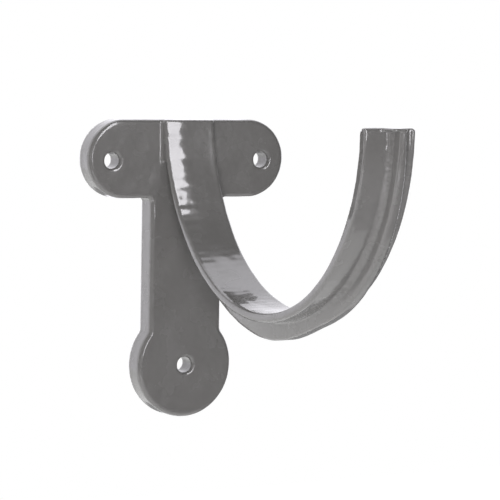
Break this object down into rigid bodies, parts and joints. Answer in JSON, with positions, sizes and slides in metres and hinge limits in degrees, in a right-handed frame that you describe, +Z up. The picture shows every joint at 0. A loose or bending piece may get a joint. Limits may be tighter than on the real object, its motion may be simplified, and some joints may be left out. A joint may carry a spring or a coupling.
{
  "type": "gutter bracket",
  "caption": "Cast bracket that screws flat to a wall or fascia and carries a half-round gutter in an open half-circle strap stiffened by a tapering rib outside.",
  "frame": {"origin": "on the back of the plate, midway between the two upper screw holes", "axes": "+X along the gutter, +Y out of the back of the plate into the wall, +Z up"},
  "size_m": [0.076, 0.1397, 0.1048],
  "materials": {
    "casting": "thick glossy dark grey paint over a slightly lumpy casting"
  },
  "bodies": {
    "root": {"bracket": "casting"}
  },
  "joints": []
}
